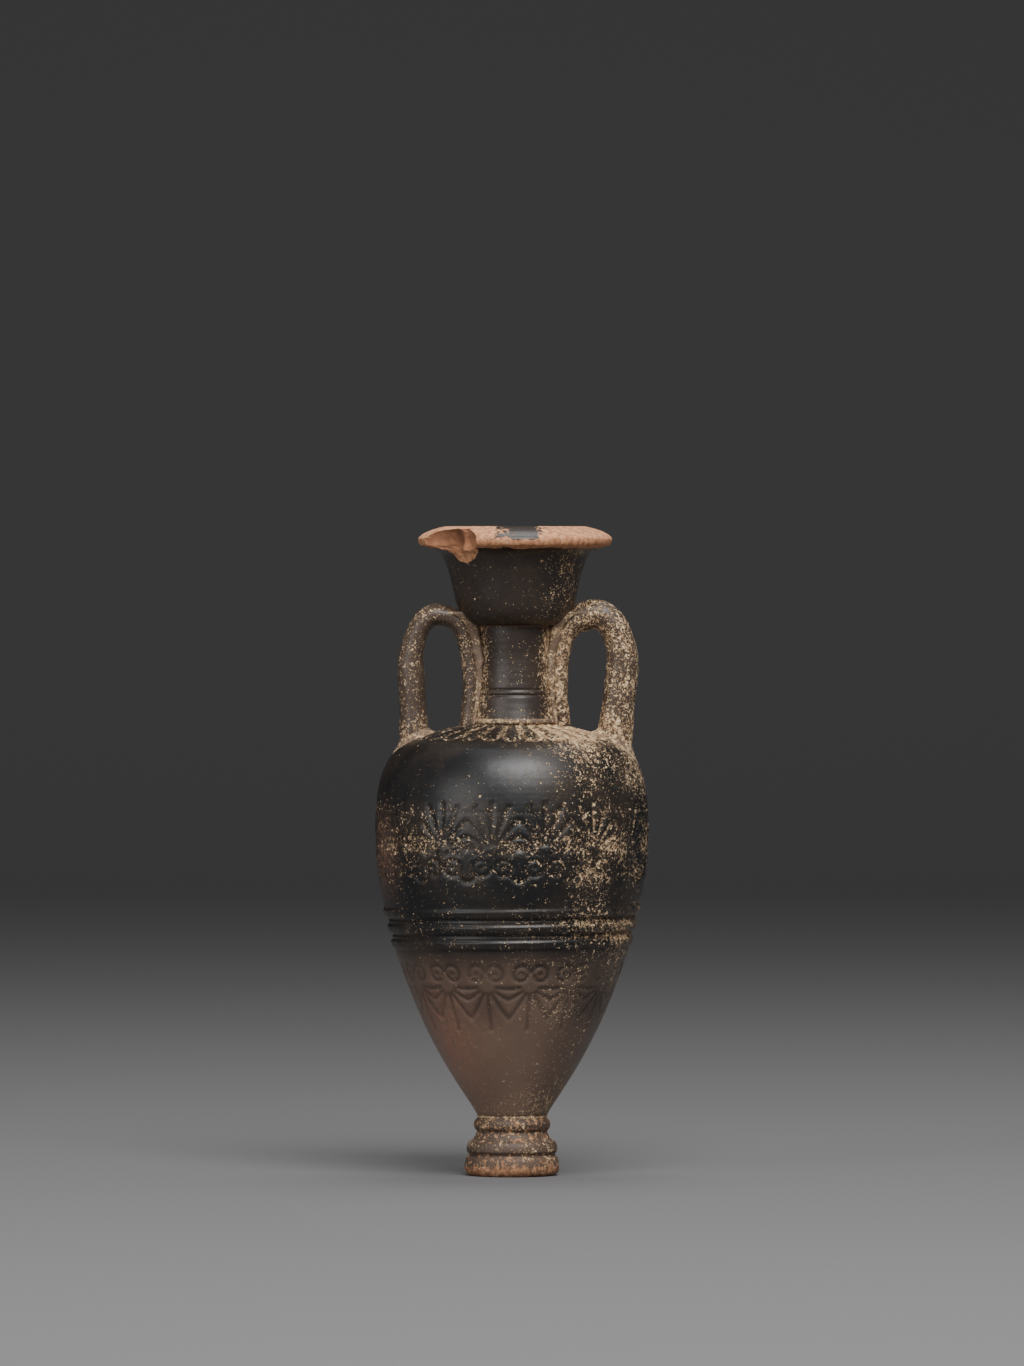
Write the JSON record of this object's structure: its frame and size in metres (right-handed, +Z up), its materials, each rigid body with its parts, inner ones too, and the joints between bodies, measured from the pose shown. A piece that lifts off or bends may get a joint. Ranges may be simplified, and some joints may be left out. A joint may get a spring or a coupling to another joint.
{
  "type": "amphoriskos",
  "caption": "Small two-handled pottery oil jar with a pointed ribbed belly, a stepped foot, a narrow neck and a flaring mouth with a broad lip.",
  "frame": {"origin": "centre of the jar at the level of its flat resting ring under the foot", "axes": "+Z up along the belly's axis, X across the two handles with the right handle at +X, -Y the front"},
  "size_m": [0.076, 0.076, 0.1803],
  "materials": {
    "black_gloss": "black gloss slip, partly brown and worn, with tan soil deposit",
    "handle_gloss": "worn dark slip under tan soil deposit",
    "worn_lip": "bare orange clay with remnants of black slip",
    "worn_clay": "worn brown clay with tan deposit",
    "luting_clay": "matt tan clay"
  },
  "bodies": {
    "root": {"foot": "worn_clay", "foot_lute": "luting_clay", "belly": "black_gloss", "shoulder_lute": "luting_clay", "neck": "black_gloss", "mouth_lute": "luting_clay", "mouth": "worn_lip", "left_handle": "handle_gloss", "left_handle_shoulder_lute": "luting_clay", "left_handle_neck_lute": "luting_clay", "right_handle": "handle_gloss", "right_handle_shoulder_lute": "luting_clay", "right_handle_neck_lute": "luting_clay"}
  },
  "joints": []
}
